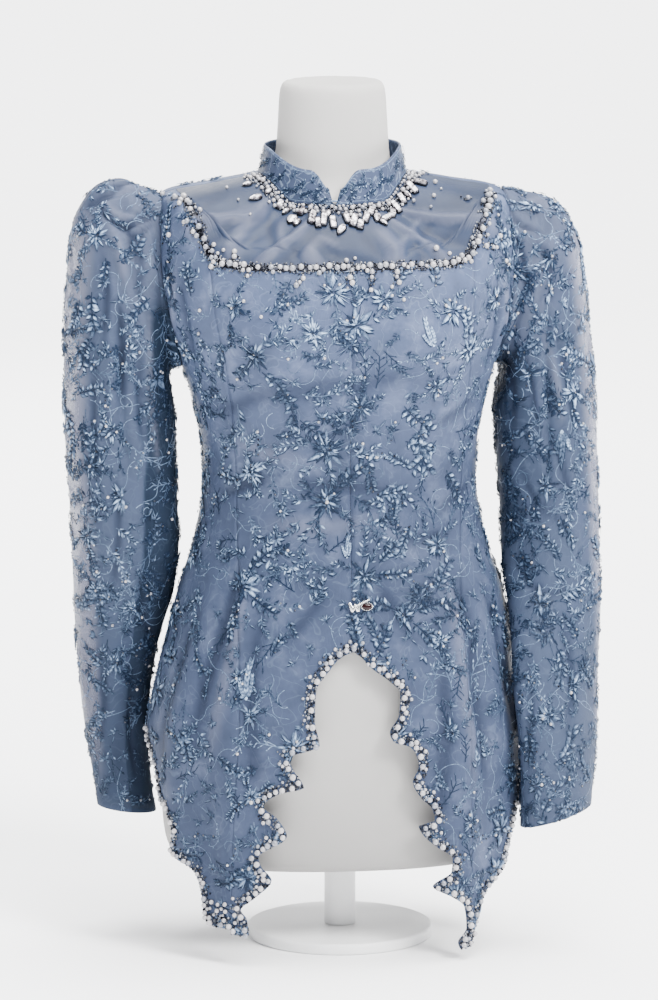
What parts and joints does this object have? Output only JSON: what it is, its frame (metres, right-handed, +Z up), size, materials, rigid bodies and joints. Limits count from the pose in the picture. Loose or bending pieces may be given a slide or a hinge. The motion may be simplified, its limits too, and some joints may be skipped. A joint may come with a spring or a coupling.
{
  "type": "kebaya blouse on a limbless dress form",
  "caption": "Long-sleeved kebaya blouse with stand collar, plain yoke, puffed sleeves and a peplum parting in an arch above two pointed tails, shown on a limbless dress form.",
  "frame": {"origin": "centre of the underside of the stand's round foot, on the floor plane", "axes": "+Z up the wearer's height, -Y out of the blouse's front, +X towards the wearer's left"},
  "size_m": [0.5463, 0.2686, 0.88],
  "materials": {
    "cloth": "embroidered satin and organza",
    "sleeve_cloth": "sheer embroidered organza",
    "yoke_cloth": "plain satin",
    "beads": "pearls, glass beads and crystals sewn close together",
    "form": "smooth off-white",
    "stand": "off-white paint",
    "silver": "bright plated",
    "red_stone": "cut dark red stone"
  },
  "bodies": {
    "root": {"dress_form": "form", "stand_base": "stand", "stand_pole": "stand", "yoke_front": "yoke_cloth", "front_center_left": "cloth", "front_center_right": "cloth", "front_side_left": "cloth", "front_side_right": "cloth", "back_left": "cloth", "back_right": "cloth", "collar_left": "cloth", "collar_right": "cloth", "sleeve_left": "sleeve_cloth", "sleeve_right": "sleeve_cloth", "yoke_trim": "beads", "neck_trim": "beads", "clasp_bezel": "silver", "clasp_stone": "red_stone"}
  },
  "joints": []
}
